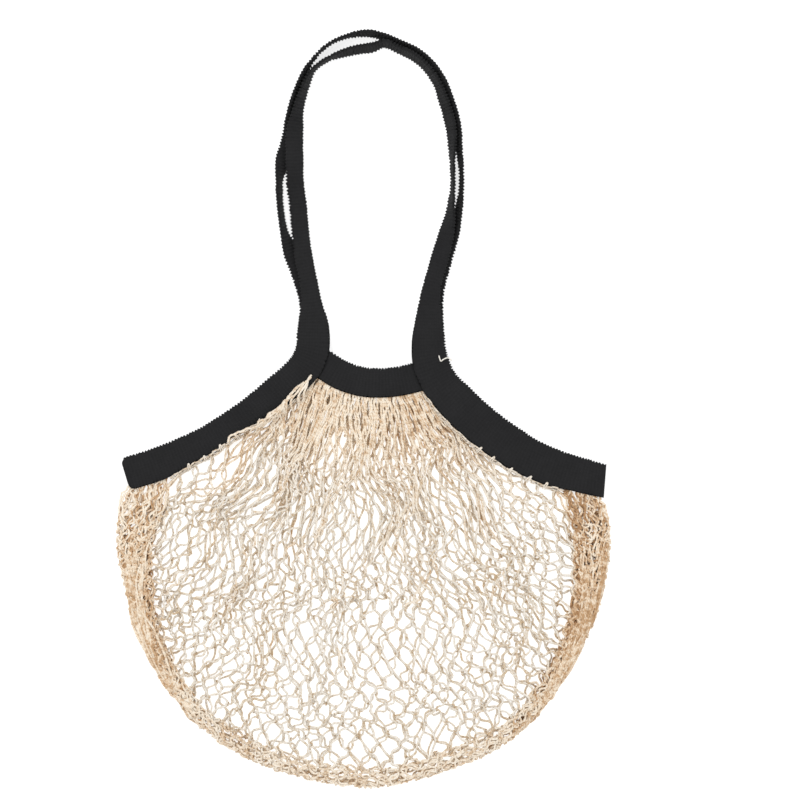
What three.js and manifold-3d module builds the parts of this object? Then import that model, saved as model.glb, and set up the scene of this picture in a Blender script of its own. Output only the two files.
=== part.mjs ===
// Net shopping bag, empty and lying on its back: a diamond net pouch hung between two long cotton tapes.
// Each tape runs along one side of the mouth, up and over as a handle, and down the other side.
// Millimetres. +X is the bag's right, +Y runs from the net to the handles, +Z is up from the surface.

import * as THREE from 'three';
import { mergeVertices } from 'three/addons/utils/BufferGeometryUtils.js';
import ManifoldModule from 'manifold-3d';

// Driving dimensions
const TAPE_WIDTH = 27.5; // knitted cotton tape, laid flat
const TAPE_THICKNESS = 1.8;
const FOLD_WIDTH = 15.5; // the same tape folded lengthwise, as it is in the handles
const FOLD_THICKNESS = 3.4;
const BAND_WIDTH = 24.5; // tape that binds the gathered middle of the mouth
const SHEET = 1.6; // thickness of the net
const STRING_REACH = 2.1; // from a knot's centre to the corner of the opening beside it
const GAP = 0.3; // clearance between pieces that lie on each other
const SURFACE_GAP = 0.25; // the net's rim just clears the surface that its underside lies on
const TUCK = 4.5; // how far the net reaches under the edge of a tape
const LOFT = 5; // free height of the mouth between the two sides of the net

// Heights of the layers at the middle of the mouth, from the surface up
const BACK_BAND_Z = TAPE_THICKNESS + GAP;
const BACK_NET_Z = BACK_BAND_Z + TAPE_THICKNESS + GAP;
const FRONT_NET_Z = BACK_NET_Z + SHEET + LOFT;
const FRONT_BAND_Z = FRONT_NET_Z + SHEET + GAP;
const FRONT_TAPE_Z = FRONT_BAND_Z + TAPE_THICKNESS + GAP;

// Heights at the two corners of the mouth, where the sides of the net close on each other
const CORNER_BACK_NET_Z = TAPE_THICKNESS + GAP;
const CORNER_FRONT_NET_Z = CORNER_BACK_NET_Z + SHEET + GAP;
const CORNER_FRONT_TAPE_Z = CORNER_FRONT_NET_Z + SHEET + GAP;
const PAIR_SPACING = FOLD_THICKNESS + 1.5; // between the middles of two handles that lie together

// The net's diamonds: half diamonds across the bag and down it
const COLUMNS = 28;
const ROWS = 12;
const GATHER = [0.27, 0.73]; // share of the columns that the middle band gathers
const FLAT_ROWS = 1; // rows that keep the level of the tape they are sewn to
const SLOPE_ROWS = 3; // rows after which the sheets have their own level
const SEAM_LAG = 0.1; // the net rises from the corner a little later than its tape
const RIM_ROWS = 0.4; // share of the rows over which the front sheet falls to the rim
const RIM_COLUMNS = 0.1; // share of the columns over which it does so at the sides
const FRONT_RIM_Z = 5; // height of the front sheet inside the rim

const smooth = (t) => THREE.MathUtils.smoothstep(t, 0, 1);
const mix = THREE.MathUtils.lerp;

// ---------------------------------------------------------------- materials

function cotton(colour) {
  return new THREE.MeshStandardMaterial({ color: colour, roughness: 0.95, metalness: 0 });
}

const NATURAL = '#d9bf9c';
const BLACK = '#2c2c2c';
const OFF_WHITE = '#e8e4da';

function piece(name, geometry, colour) {
  const mesh = new THREE.Mesh(geometry, cotton(colour));
  mesh.name = name;
  return mesh;
}

// ---------------------------------------------------------------- solids from rings

// Skins a row of rings with the same number of points and closes both ends.
function solidFromRings(rings) {
  const sides = rings[0].length;
  const positions = rings.flat().flatMap((point) => point.toArray());
  const faces = [];
  for (let r = 0; r + 1 < rings.length; r += 1) {
    for (let k = 0; k < sides; k += 1) {
      const a = r * sides + k;
      const b = r * sides + ((k + 1) % sides);
      faces.push(a, b, b + sides, a, b + sides, a + sides);
    }
  }
  const last = (rings.length - 1) * sides;
  for (let k = 1; k + 1 < sides; k += 1) {
    faces.push(0, k + 1, k);
    faces.push(last, last + k, last + k + 1);
  }
  return closedGeometry(positions, faces);
}

function closedGeometry(positions, faces) {
  const geometry = new THREE.BufferGeometry();
  geometry.setAttribute('position', new THREE.Float32BufferAttribute(positions, 3));
  geometry.setIndex(faces);
  geometry.computeVertexNormals();
  return geometry;
}

// ---------------------------------------------------------------- tapes

// A tape's section in half widths and half thicknesses, with its long edges taken off.
const TAPE_SECTION = [[1, 0.4], [1, -0.4], [0.93, -1], [-0.93, -1],
  [-1, -0.4], [-1, 0.4], [-0.93, 1], [0.93, 1]];

// A station of a tape is [x, y, fold, twist, lift]: fold is 0 for flat tape and 1 for folded tape,
// twist in degrees raises the edge away from the inside of the bag, and lift is the height of the
// lowest edge above the surface.
class Tape {
  constructor(stations, width = TAPE_WIDTH) {
    this.line = new THREE.CatmullRomCurve3(stations.map(([x, y]) => new THREE.Vector3(x, y, 0)));
    this.form = new THREE.CatmullRomCurve3(
      stations.map(([, , fold, twist, lift]) => new THREE.Vector3(fold, twist, lift)),
    );
    this.spans = stations.length - 1;
    this.width = width;
  }

  // Centre of the tape in plan and the direction across it, towards the inside of the bag.
  plan(t) {
    const centre = this.line.getPoint(t);
    const along = this.line.getTangent(t).setZ(0).normalize();
    return { centre, across: new THREE.Vector3(along.y, -along.x, 0) };
  }

  ring(t) {
    const { centre, across } = this.plan(t);
    const form = this.form.getPoint(t);
    const fold = THREE.MathUtils.clamp(form.x, 0, 1);
    const twist = THREE.MathUtils.degToRad(form.y);
    const halfWidth = mix(this.width, FOLD_WIDTH, fold) / 2;
    const halfThickness = mix(TAPE_THICKNESS, FOLD_THICKNESS, fold) / 2;
    const rise = halfWidth * Math.abs(Math.sin(twist)) + halfThickness * Math.cos(twist);
    centre.z = Math.max(form.z, 0) + rise;
    const wide = across.clone().multiplyScalar(Math.cos(twist)).setZ(-Math.sin(twist));
    const thick = across.clone().multiplyScalar(Math.sin(twist)).setZ(Math.cos(twist));
    return TAPE_SECTION.map(([a, b]) => centre.clone()
      .addScaledVector(wide, a * halfWidth)
      .addScaledVector(thick, b * halfThickness));
  }

  solid(stepsPerSpan) {
    const steps = this.spans * stepsPerSpan;
    const rings = [];
    for (let s = 0; s <= steps; s += 1) rings.push(this.ring(s / steps));
    return solidFromRings(rings);
  }
}

// The side of the mouth, from the outer corner in to the foot of the handle.
function sideStations(points, cornerLift, footLift) {
  return points.map(([x, y], k) => [x, y, 0, 0, mix(cornerLift, footLift, smooth(k / (points.length - 1)))]);
}

const LEFT_SIDE = [[-193.5, -53], [-172, -46.5], [-150, -38], [-128, -28], [-106, -14.5], [-86.5, -0.5],
  [-70.5, 13], [-56, 25.5], [-46.5, 36]];
const RIGHT_SIDE = [[196, -58.5], [177, -54.5], [160, -49.5], [142, -42.5], [126, -35], [108.5, -23.5],
  [92, -10.5], [75.5, 5.5], [62, 22]];

// Round the shoulders of the loop and down the right leg the two handles lie against each other:
// [x, y, twist, slide] of the line between them, slide being how far they are drawn apart.
const LEFT_SHOULDER = [[-57, 227, 20, 1], [-55.4, 240.7, 55, 0], [-52.7, 252, 64, 0],
  [-48.2, 265, 71, 0], [-43.8, 274.6, 79, 0]];
const RIGHT_SHOULDER = [[18.1, 298.2, 70, 0], [29.6, 293.4, 70, 0], [41, 288, 70, 0],
  [52.3, 278.7, 70, 0], [61.8, 264.9, 68, 0], [66.5, 252, 61, 0], [70.6, 239, 58, 0],
  [73.4, 226, 60, 0], [74.4, 213, 68, 0.5]];
const RIGHT_LEG = [[74.3, 164.6, 71, 2], [72.6, 154.5, 57, 1.2], [70.4, 145.5, 41, 1.4],
  [67.6, 135.5, 24, 1.6], [64, 123.6, 9, 2.4], [60.6, 111.5, 1, 3]];

// Stations of one handle along such a line: the front one is inside and above, the back one outside.
function besideEachOther(line, front) {
  return line.map(([x, y, twist, slide], k) => {
    const [fromX, fromY] = line[Math.max(k - 1, 0)];
    const [toX, toY] = line[Math.min(k + 1, line.length - 1)];
    const across = new THREE.Vector2(toY - fromY, fromX - toX).normalize();
    const angle = THREE.MathUtils.degToRad(twist);
    const shift = ((front ? 1 : -1) * (PAIR_SPACING * Math.sin(angle) + slide)) / 2;
    const lift = front ? GAP + PAIR_SPACING * Math.cos(angle) : GAP;
    return [x + across.x * shift, y + across.y * shift, 1, twist, lift];
  });
}

// Between those stretches the loops part, and the front tape lies flat over the back one where
// they cross; at the top both stand on edge.
const FRONT_TAPE = new Tape([
  ...sideStations(LEFT_SIDE, CORNER_FRONT_TAPE_Z, FRONT_TAPE_Z),
  [-41.5, 49, 0, 0, FRONT_TAPE_Z],
  [-41, 58, 0, 0, FRONT_TAPE_Z],
  [-40.8, 71, 0.25, 0, 12.8],
  [-42, 84, 0.75, 0, 10],
  [-44, 100, 1, 0, 8],
  [-47.5, 117, 1, 0, 7],
  [-49.8, 131, 1, 0, 7.5],
  [-51.8, 148, 1, 0, 3.5],
  [-53.4, 166, 1, 6, 2],
  [-55.3, 180, 1, 3, 3.5],
  [-55.9, 191, 1, 0, 8],
  [-55.9, 202, 1, 0, 9.2],
  [-56.2, 213, 1, 2, 7],
  ...besideEachOther(LEFT_SHOULDER, true),
  [-36.5, 278.7, 1, 84, 0.7],
  [-27.2, 284.4, 1, 82, GAP],
  [-15.8, 288.5, 1, 70, GAP],
  [-4.5, 291.3, 1, 65, GAP],
  [6.9, 293, 1, 65, GAP],
  ...besideEachOther(RIGHT_SHOULDER, true),
  [72.2, 198, 1, 80, GAP],
  [72.5, 180.6, 1, 80, GAP],
  ...besideEachOther(RIGHT_LEG, true),
  [56, 101, 1, 0, 7],
  [53.9, 88.2, 0.8, 0, 9],
  [53.2, 72, 0.35, 0, 12],
  [52.9, 55, 0, 0, FRONT_TAPE_Z],
  [54.8, 39, 0, 0, FRONT_TAPE_Z],
  ...sideStations(RIGHT_SIDE, CORNER_FRONT_TAPE_Z, FRONT_TAPE_Z).reverse(),
]);

const BACK_TAPE = new Tape([
  ...sideStations(LEFT_SIDE, 0, 0),
  [-41.5, 49, 0, 0, 0],
  [-41, 67, 0.1, 0, 0],
  [-43.5, 84, 0.75, 0, GAP],
  [-47.4, 97, 1, 0, GAP],
  [-52.5, 112, 1, 2, GAP],
  [-57, 123, 1, 12, GAP],
  [-60.5, 132, 1, 42, GAP],
  [-64, 142, 1, 68, GAP],
  [-66.3, 154, 1, 74, GAP],
  [-68, 170, 1, 74, GAP],
  [-68.3, 184, 1, 73, GAP],
  [-67.3, 193, 1, 58, GAP],
  [-64.8, 202, 1, 27, GAP],
  [-61.8, 211, 1, 7, GAP],
  [-59.6, 219, 1, 5, GAP],
  ...besideEachOther(LEFT_SHOULDER, false),
  [-40.2, 284, 1, 86, GAP],
  [-34, 290.9, 1, 88, GAP],
  [-25.1, 297.4, 1, 88, GAP],
  [-15.8, 301.3, 1, 86, GAP],
  [-4.5, 304, 1, 78, GAP],
  [6.9, 304.2, 1, 75, GAP],
  ...besideEachOther(RIGHT_SHOULDER, false),
  [79, 198, 1, 80, GAP],
  [79.4, 180.6, 1, 80, GAP],
  ...besideEachOther(RIGHT_LEG, false),
  [59.2, 100, 1, 0, GAP],
  [56.5, 88.2, 0.8, 0, GAP],
  [54, 72, 0.35, 0, 0],
  [52.9, 55, 0, 0, 0],
  [54.8, 39, 0, 0, 0],
  ...sideStations(RIGHT_SIDE, 0, 0).reverse(),
]);

// The band across the middle of the mouth, its ends under the feet of the handles.
function mouthBand(lift) {
  const line = [[-45.5, 43.5], [-32, 36], [-19, 28], [-2, 22.3], [11, 21.2], [25, 22], [40, 25], [55, 30]];
  return new Tape(line.map(([x, y]) => [x, y, 0, 0, lift]), BAND_WIDTH);
}

const SEWN_BAND = [0.05, 0.93]; // the share of its length that the net is sewn to
const FRONT_BAND = mouthBand(FRONT_BAND_Z);
const BACK_BAND = mouthBand(BACK_BAND_Z);

// ---------------------------------------------------------------- net

// Outline of the net's rim from the left corner round the bottom to the right corner:
// [x, y, width, height] of the gathered bundle inside it.
const RIM = [
  [-191, -68.5, 30, 8], [-199, -86, 34, 12], [-200, -116, 28, 13], [-194, -145, 23, 12.5],
  [-185.5, -179, 19, 12], [-172.5, -207, 17, 11.5], [-156, -232, 15, 11], [-130, -260.5, 13, 10.5],
  [-88, -286.5, 11, 10], [-35, -303, 9, 9.5], [10, -307.5, 9, 9.5], [69, -293, 10, 9.5],
  [115.5, -272, 12, 10], [153.5, -233, 14, 11], [178.5, -192.5, 17, 12], [192, -159, 20, 12.5],
  [200, -118.5, 25, 13], [200, -94, 27, 12], [194.5, -73, 24, 8],
];
const RIM_STEPS = 84;
const RIM_SIDES = 10;
const RIM_ENDS = [0.115, 0.885]; // where the first and last columns of the net meet the rim
const SCALLOP = 1.1; // depth of the loops along the rim's outer edge

const RIM_LINE = new THREE.CatmullRomCurve3(RIM.map(([x, y]) => new THREE.Vector3(x, y, 0)));
const RIM_SIZE = new THREE.CatmullRomCurve3(RIM.map(([, , w, h]) => new THREE.Vector3(w, h, 0)));

function rimPlan(t) {
  const along = RIM_LINE.getTangent(t);
  const size = RIM_SIZE.getPoint(t);
  return {
    edge: RIM_LINE.getPoint(t),
    inward: new THREE.Vector3(-along.y, along.x, 0).normalize(),
    width: size.x,
    height: size.y,
  };
}

function rimRing(step) {
  const { edge, inward, width, height } = rimPlan(step / RIM_STEPS);
  const scallop = (step % 2) * SCALLOP;
  const ring = [];
  for (let k = 0; k < RIM_SIDES; k += 1) {
    const angle = (2 * Math.PI * k) / RIM_SIDES;
    const depth = (width / 2) * (1 + Math.cos(angle));
    const share = depth / width;
    const point = edge.clone().addScaledVector(inward, mix(scallop, width, share));
    point.z = SURFACE_GAP + (height / 2) * (1 + Math.sin(angle));
    ring.push(point);
  }
  return ring;
}

function rimSolid() {
  const rings = [];
  for (let step = 0; step <= RIM_STEPS; step += 1) rings.push(rimRing(step));
  return solidFromRings(rings);
}

// Line where the net's top edge is sewn, from the left corner (0) to the right corner (1).
function mouthPoint(u) {
  const edgeOf = (tape, t, halfWidth) => {
    const { centre, across } = tape.plan(t);
    return centre.addScaledVector(across, halfWidth - TUCK);
  };
  const sideShare = (LEFT_SIDE.length - 1) / FRONT_TAPE.spans;
  if (u < GATHER[0]) return edgeOf(FRONT_TAPE, (u / GATHER[0]) * sideShare, TAPE_WIDTH / 2);
  if (u > GATHER[1]) return edgeOf(FRONT_TAPE, 1 - ((1 - u) / (1 - GATHER[1])) * sideShare, TAPE_WIDTH / 2);
  const share = (u - GATHER[0]) / (GATHER[1] - GATHER[0]);
  return edgeOf(FRONT_BAND, mix(SEWN_BAND[0], SEWN_BAND[1], share), BAND_WIDTH / 2);
}

// Line where the net's bottom edge runs into the middle of the rim.
function rimPoint(u) {
  const { edge, inward, width } = rimPlan(mix(RIM_ENDS[0], RIM_ENDS[1], u));
  return edge.addScaledVector(inward, width / 2);
}

function netPoint(column, row) {
  const u = column / COLUMNS;
  return mouthPoint(u).lerp(rimPoint(u), row / ROWS);
}

// Height of a sheet's underside: its tape's level at the mouth, its own level in the body of the
// net, and the rim's middle at the sides and bottom.
function sheetLevel(column, row, cornerZ, mouthZ, bodyZ, rimZ) {
  const u = column / COLUMNS;
  const fromCorner = smooth(Math.min(u, 1 - u) / GATHER[0] - SEAM_LAG);
  const atTape = mix(cornerZ, mouthZ, fromCorner);
  const down = smooth((row - FLAT_ROWS) / (SLOPE_ROWS - FLAT_ROWS));
  const toBottom = smooth((row / ROWS - 1 + RIM_ROWS) / RIM_ROWS);
  const toSide = 1 - smooth(Math.min(u, 1 - u) / RIM_COLUMNS);
  const body = mix(bodyZ, rimZ, Math.max(toBottom, toSide));
  return mix(atTape, body, down);
}

function frontLevel(column, row) {
  return sheetLevel(column, row, CORNER_FRONT_NET_Z, FRONT_NET_Z, FRONT_NET_Z, FRONT_RIM_Z);
}

function backLevel(column, row) {
  return sheetLevel(column, row, CORNER_BACK_NET_Z, BACK_NET_Z, 0, 0);
}

const SIDES = [[1, 0], [0, 1], [-1, 0], [0, -1]];
const MAX_REACH = 0.45; // of the way from a knot to the middle of an opening, where they are crowded
const GRID_REACH = 0.2; // the same in the grid, which only sorts the corners
const inGrid = (i, j) => i >= 0 && j >= 0 && i <= COLUMNS && j <= ROWS;

// One side of the net: a thin sheet with a diamond opening between every four knots. Knots are
// where column plus row is even, openings where it is odd.
function netSheet(level) {
  const vertices = [];
  const cornerIndex = new Map();
  // Corner of the opening (ci, cj) beside the knot (ki, kj).
  const corner = (ki, kj, ci, cj) => {
    const key = [ki, kj, ci, cj].join();
    if (!cornerIndex.has(key)) {
      const knot = netPoint(ki, kj);
      const reach = netPoint(ci, cj).sub(knot);
      const share = Math.min(STRING_REACH / reach.length(), MAX_REACH);
      const point = knot.addScaledVector(reach, share);
      cornerIndex.set(key, vertices.length);
      vertices.push({
        grid: [mix(ki, ci, GRID_REACH), mix(kj, cj, GRID_REACH)],
        at: [point.x, point.y, mix(level(ki, kj), level(ci, cj), share)],
      });
    }
    return cornerIndex.get(key);
  };
  const polygons = [];
  for (let i = 0; i <= COLUMNS; i += 1) {
    for (let j = 0; j <= ROWS; j += 1) {
      if ((i + j) % 2 === 0) {
        polygons.push(knotPolygon(i, j, corner, vertices, level));
        polygons.push(...stringPolygons(i, j, corner));
      } else if (!isOpen(i, j)) {
        polygons.push(openingPolygon(i, j, corner));
      }
    }
  }
  return thicken(vertices, polygons, SHEET);
}

// The places in the grid beside (i, j), anticlockwise.
function neighbours(i, j) {
  return SIDES.map(([di, dj]) => [i + di, j + dj]).filter(([ni, nj]) => inGrid(ni, nj));
}

function knotPolygon(i, j, corner, vertices, level) {
  const around = neighbours(i, j).map(([ci, cj]) => corner(i, j, ci, cj));
  if (around.length > 2) return around;
  const knot = netPoint(i, j); // a corner of the sheet
  vertices.push({ grid: [i, j], at: [knot.x, knot.y, level(i, j)] });
  return [vertices.length - 1, ...around];
}

// The strings that leave a knot upwards in the grid, each between the two openings beside it.
function stringPolygons(i, j, corner) {
  return [-1, 1].filter((di) => inGrid(i + di, j + 1)).map((di) => [
    corner(i, j, i, j + 1),
    corner(i, j, i + di, j),
    corner(i + di, j + 1, i + di, j),
    corner(i + di, j + 1, i, j + 1),
  ]);
}

function openingPolygon(i, j, corner) {
  return neighbours(i, j).map(([ki, kj]) => corner(ki, kj, i, j));
}

// An opening is left shut along the edges of the sheet and inside the rim's bundle.
function isOpen(i, j) {
  if (i < 1 || j < 1 || i >= COLUMNS || j >= ROWS) return false;
  const { edge, inward, width } = rimPlan(mix(RIM_ENDS[0], RIM_ENDS[1], i / COLUMNS));
  return netPoint(i, j).sub(edge).dot(inward) > width + STRING_REACH;
}

// Gives a sheet of polygons its thickness, with walls along its edge and round every opening.
function thicken(vertices, polygons, thickness) {
  const count = vertices.length;
  const bottom = vertices.map(({ at }) => at);
  const top = bottom.map(([x, y, z]) => [x, y, z + thickness]);
  const faces = [];
  const edges = new Map();
  for (const polygon of polygons.map((ids) => facingUp(ids, vertices))) {
    for (let k = 1; k + 1 < polygon.length; k += 1) {
      faces.push(polygon[0] + count, polygon[k] + count, polygon[k + 1] + count);
      faces.push(polygon[0], polygon[k + 1], polygon[k]);
    }
    polygon.forEach((a, k) => edges.set(`${a},${polygon[(k + 1) % polygon.length]}`, true));
  }
  for (const key of edges.keys()) {
    const [a, b] = key.split(',').map(Number);
    if (!edges.has(`${b},${a}`)) faces.push(a, b, b + count, a, b + count, a + count);
  }
  return closedGeometry([...bottom, ...top].flat(), faces);
}

// Rows run down the bag, so a polygon that is clockwise in the grid faces up.
function facingUp(ids, vertices) {
  let area = 0;
  ids.forEach((a, k) => {
    const [ax, ay] = vertices[a].grid;
    const [bx, by] = vertices[ids[(k + 1) % ids.length]].grid;
    area += ax * by - bx * ay;
  });
  return area > 0 ? [...ids].reverse() : ids;
}

// ---------------------------------------------------------------- joining

const wasm = await ManifoldModule();
wasm.setup();

function toManifold(geometry) {
  const bare = geometry.clone();
  bare.deleteAttribute('normal');
  const merged = mergeVertices(bare, 1e-4);
  return new wasm.Manifold(new wasm.Mesh({
    numProp: 3,
    vertProperties: merged.attributes.position.array,
    triVerts: new Uint32Array(merged.index.array),
  }));
}

function fromManifold(solid) {
  const mesh = solid.getMesh();
  return closedGeometry(Array.from(mesh.vertProperties), Array.from(mesh.triVerts));
}

function netSolid() {
  const sheets = [netSheet(backLevel), netSheet(frontLevel)].map(toManifold);
  return fromManifold(sheets.reduce((whole, sheet) => whole.add(sheet), toManifold(rimSolid())));
}

// ---------------------------------------------------------------- thread end

// A loose end of white sewing thread at the foot of the right handle.
const THREAD_RADIUS = 0.5;
const THREAD_ARC_STEPS = 3;
const THREAD_STEPS = 10;
const THREAD_LINE = [[61, 43, 0.2], [62.8, 38.5, 0.5], [64.5, 39.8, 1.2], [68.5, 41.2, 0.9], [71.5, 39, 0.4]];

function threadEnd() {
  const z = FRONT_TAPE_Z + TAPE_THICKNESS + GAP + THREAD_RADIUS;
  const path = new THREE.CatmullRomCurve3(THREAD_LINE.map(([x, y, up]) => new THREE.Vector3(x, y, z + up)));
  const section = new THREE.Shape();
  section.absarc(0, 0, THREAD_RADIUS, 0, 2 * Math.PI);
  return new THREE.ExtrudeGeometry(section, {
    extrudePath: path,
    steps: THREAD_STEPS,
    curveSegments: THREAD_ARC_STEPS,
    bevelEnabled: false,
  });
}

// ---------------------------------------------------------------- bag

function bag() {
  const group = new THREE.Group();
  group.add(piece('net', netSolid(), NATURAL));
  group.add(piece('front_tape', FRONT_TAPE.solid(1), BLACK));
  group.add(piece('back_tape', BACK_TAPE.solid(1), BLACK));
  group.add(piece('front_mouth_band', FRONT_BAND.solid(2), BLACK));
  group.add(piece('back_mouth_band', BACK_BAND.solid(2), BLACK));
  group.add(piece('thread_end', threadEnd(), OFF_WHITE));
  return group;
}

export default bag();
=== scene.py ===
"""Looks of an empty net shopping bag that lies flat: knitted black tapes, and a net of twisted
cotton string. Routes are in millimetres in the frame of the solids, and MM turns them into metres."""

import math

import bpy
import numpy as np
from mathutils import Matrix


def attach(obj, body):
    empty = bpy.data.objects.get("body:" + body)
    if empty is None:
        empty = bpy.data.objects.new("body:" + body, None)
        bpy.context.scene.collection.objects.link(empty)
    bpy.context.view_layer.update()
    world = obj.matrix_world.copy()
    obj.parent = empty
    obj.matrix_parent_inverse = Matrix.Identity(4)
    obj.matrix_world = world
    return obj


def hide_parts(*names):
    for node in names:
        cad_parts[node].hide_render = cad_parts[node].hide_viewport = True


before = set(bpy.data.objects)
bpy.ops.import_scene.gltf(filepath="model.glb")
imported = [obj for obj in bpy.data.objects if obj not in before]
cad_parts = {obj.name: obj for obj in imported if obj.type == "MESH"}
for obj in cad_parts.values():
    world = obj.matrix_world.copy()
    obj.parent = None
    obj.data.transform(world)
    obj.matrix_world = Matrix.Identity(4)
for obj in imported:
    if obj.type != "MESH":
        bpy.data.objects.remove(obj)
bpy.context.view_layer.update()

MM = 0.001
BODY = "root"
UP = np.array([0.0, 0.0, 1.0])
rng = np.random.default_rng(7)


# ---- curves

SAME_POINT = 1e-2  # square root of the distance below which two points of a curve count as one


def mix(a, b, share):
    return a + (b - a) * share


def smooth(t):
    """Eases from 0 to 1 while t runs from 0 to 1."""
    t = np.clip(t, 0, 1)
    return t * t * (3 - 2 * t)


def hermite(a, b, leaving, arriving, t):
    """Points at shares t of the way from a to b, on a cubic with the given slopes at its ends."""
    return ((2 * t**3 - 3 * t**2 + 1) * a + (t**3 - 2 * t**2 + t) * leaving
            + (3 * t**2 - 2 * t**3) * b + (t**3 - t**2) * arriving)


def catmull(points, t):
    """Centripetal Catmull-Rom curve through the points, at shares t of the number of spans."""
    points = np.asarray(points, float)
    knots = np.vstack([2 * points[:1] - points[1:2], points, 2 * points[-1:] - points[-2:-1]])
    place = np.clip(t, 0, 1) * (len(points) - 1)
    span = np.minimum(place.astype(int), len(points) - 2)
    p0, p1, p2, p3 = (knots[span + k] for k in range(4))
    d0, d1, d2 = (np.linalg.norm(b - a, axis=1, keepdims=True) ** 0.5
                  for a, b in ((p0, p1), (p1, p2), (p2, p3)))
    d1 = np.where(d1 < SAME_POINT, 1, d1)
    d0, d2 = (np.where(d < SAME_POINT, d1, d) for d in (d0, d2))
    leaving = ((p1 - p0) / d0 - (p2 - p0) / (d0 + d1) + (p2 - p1) / d1) * d1
    arriving = ((p2 - p1) / d1 - (p3 - p1) / (d1 + d2) + (p3 - p2) / d2) * d1
    return hermite(p1, p2, leaving, arriving, (place - span)[:, None])


def lengths(points):
    """Length along a line at each of its points."""
    steps = np.linalg.norm(np.diff(points, axis=0), axis=1)
    return np.concatenate([[0], np.cumsum(steps)])


def along(points, where):
    """Points, with all their values, at the given lengths along a line in plan."""
    total = lengths(points[:, :2])
    return np.stack([np.interp(where, total, values) for values in points.T], axis=-1)


def unit(vectors):
    return vectors / np.maximum(np.linalg.norm(vectors, axis=-1, keepdims=True), 1e-9)


def left_of(heading):
    """Headings turned a quarter to the left in plan."""
    turned = np.zeros_like(heading)
    turned[..., 0] = -heading[..., 1]
    turned[..., 1] = heading[..., 0]
    return turned


def past(points, line, direction):
    """How far points lie past a line along its direction, and the number of its nearest point."""
    nearest = np.linalg.norm(points[..., None, :] - line, axis=-1).argmin(axis=-1)
    return ((points - line[nearest]) * direction[nearest]).sum(axis=-1), nearest


# ---- meshes

UV_LENGTH = 10.0  # of tape or string, in millimetres, for one step of V


def add_object(name, data, place=(0, 0, 0)):
    obj = bpy.data.objects.new(name, data)
    obj.location = place
    bpy.context.scene.collection.objects.link(obj)
    return obj


def mesh_object(name, verts, quads, caps, uvs, material, **values):
    """A smooth mesh of quads, with a UV for each of their corners, and end caps of one size; the values
    are for its points."""
    me = bpy.data.meshes.new(name)
    loops = np.concatenate([quads.ravel(), caps.ravel()]).astype(np.int32)
    totals = np.repeat([4, caps.shape[1]], [len(quads), len(caps)]).astype(np.int32)
    me.vertices.add(len(verts))
    me.loops.add(len(loops))
    me.polygons.add(len(totals))
    me.vertices.foreach_set("co", (verts * MM).astype(np.float32).ravel())
    me.loops.foreach_set("vertex_index", loops)
    me.polygons.foreach_set("loop_start", (np.cumsum(totals) - totals).astype(np.int32))
    me.polygons.foreach_set("loop_total", totals)
    me.update(calc_edges=True)
    corners = np.zeros((len(loops), 2), np.float32)
    corners[:len(uvs)] = uvs
    me.uv_layers.new(name="UVMap").data.foreach_set("uv", corners.ravel())
    for key, numbers in values.items():
        me.attributes.new(key, "FLOAT", "POINT").data.foreach_set("value", numbers.astype(np.float32))
    me.polygons.foreach_set("use_smooth", np.ones(len(totals), bool))
    me.materials.append(material)
    return add_object(name, me)


def skin(rings):
    """Points, quads and end caps over rings of points: an array of tubes by rings by points by 3."""
    tubes, count, sides, _ = rings.shape
    first = (np.arange(tubes)[:, None, None] * count + np.arange(count - 1)[None, :, None]) * sides
    k = np.arange(sides)
    a, b = first + k, first + (k + 1) % sides
    quads = np.stack([a, b, b + sides, a + sides], axis=-1).reshape(-1, 4)
    start = np.arange(tubes)[:, None] * count * sides
    end = start + (count - 1) * sides
    return rings.reshape(-1, 3), quads, np.vstack([start + k[::-1], end + k])


def skin_uvs(distance, sides):
    """UVs of the quads of skin(): share of a turn round the tube, and length along it."""
    v = np.repeat(distance[:, :, None] / UV_LENGTH, sides, axis=2)
    v0, v1 = v[:, :-1], v[:, 1:]
    u0 = np.broadcast_to(np.arange(sides) / sides, v0.shape)
    u1 = u0 + 1 / sides
    return np.stack([u0, v0, u1, v0, u1, v1, u0, v1], axis=-1).reshape(-1, 2)


# ---- tapes

TAPE_WIDTH = 27.5
TAPE_THICKNESS = 1.8
FOLD_WIDTH = 15.5
FOLD_THICKNESS = 3.4
BAND_WIDTH = 24.5
GAP = 0.3  # between layers that lie on each other
PAIR_SPACING = FOLD_THICKNESS + 1.5
BACK_BAND_Z = TAPE_THICKNESS + GAP
FRONT_BAND_Z = 12.7
FRONT_TAPE_Z = 14.8
CORNER_FRONT_TAPE_Z = 5.9

RIB_PITCH = 2.7  # cross ribs of the knitted tape
RIB_DEPTH = 0.14
STANDING_RIB_DEPTH = 1.3  # of the ribs that show from above where the tape stands on edge
EDGE_DEPTH = 1.5  # how far the ribs stand out at the tape's edges
RINGS_PER_RIB = 4
RIB_SIZES = (0.55, 1.45)  # relative, of the smallest and the largest rib
FACE_SHARES = (0.92, 0.6, 0.3, 0.0, -0.3, -0.6, -0.92)  # of the width, at the points of a face
FACE_DENT = 0.04  # of a folded tape's faces, as a share of its thickness
LIP = 0.32  # height of the lips along its groove, as a share of its thickness
END_ROUNDING = 5.0  # of the corners at the tape's left end
END_SKEW = (0.13, 25)  # slant of the cut at its right end, and the length over which the tape turns to it
GROOVE = 4.0  # depth of the open side of a folded tape

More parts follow.
